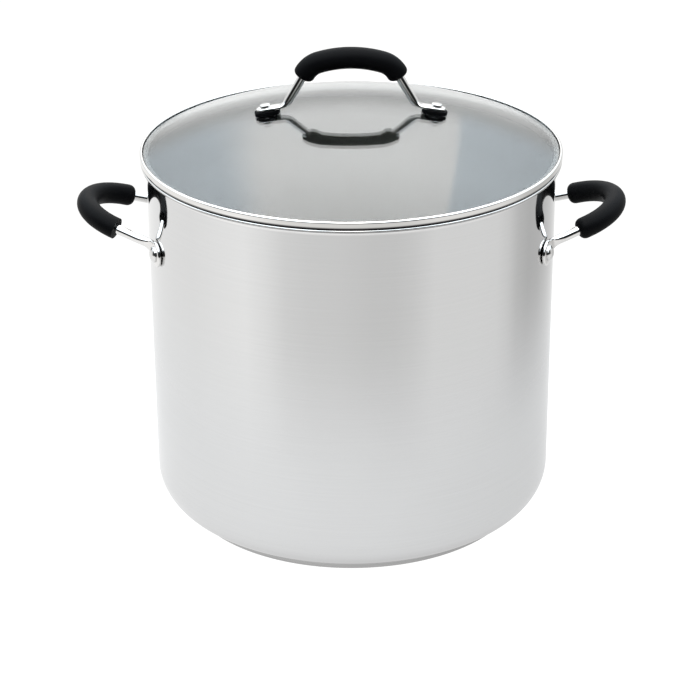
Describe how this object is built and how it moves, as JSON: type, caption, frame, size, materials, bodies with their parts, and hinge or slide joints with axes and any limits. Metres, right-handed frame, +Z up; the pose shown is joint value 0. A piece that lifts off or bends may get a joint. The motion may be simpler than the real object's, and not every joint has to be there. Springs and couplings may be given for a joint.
{
  "type": "covered stockpot",
  "caption": "Tall straight-sided steel stockpot with a bonded base, riveted loop handles in silicone sleeves and a lift-off domed glass lid with a steel band.",
  "frame": {"origin": "centre of the base's underside", "axes": "+Z up, +X towards the right side handle, +Y away from the viewer, to the rear"},
  "size_m": [0.3432, 0.2614, 0.3016],
  "materials": {
    "pot_steel": "polished outside with a faint vertical sheen, brushed in fine rings inside",
    "base_steel": "satin with fine turned rings",
    "core_aluminium": "plain rolled",
    "bright_steel": "mirror polished rod",
    "rivet_steel": "polished, slightly pressed",
    "band_steel": "mirror polished rolled strip",
    "black_silicone": "matte with a soft sheen",
    "lid_glass": "clear tempered glass with a faint grey-green edge"
  },
  "bodies": {
    "pot": {"pot_body": "pot_steel", "base_core": "core_aluminium", "base_cap": "base_steel", "left_handle_rod": "bright_steel", "left_handle_sleeve": "black_silicone", "left_front_rivet": "rivet_steel", "left_rear_rivet": "rivet_steel", "right_handle_rod": "bright_steel", "right_handle_sleeve": "black_silicone", "right_front_rivet": "rivet_steel", "right_rear_rivet": "rivet_steel"},
    "lid": {"lid_glass": "lid_glass", "lid_band": "band_steel", "lid_handle_rod": "bright_steel", "lid_handle_sleeve": "black_silicone", "left_foot_pad": "black_silicone", "right_foot_pad": "black_silicone", "left_hole_sleeve": "black_silicone", "right_hole_sleeve": "black_silicone", "left_lid_rivet": "rivet_steel", "right_lid_rivet": "rivet_steel", "left_lid_gasket": "black_silicone", "right_lid_gasket": "black_silicone", "left_lid_washer": "rivet_steel", "right_lid_washer": "rivet_steel"}
  },
  "joints": [
    {"name": "lid_lift", "type": "slide", "parent": "pot", "child": "lid", "axis": [0, 0, 1], "range_m": [0, 0.25]}
  ]
}
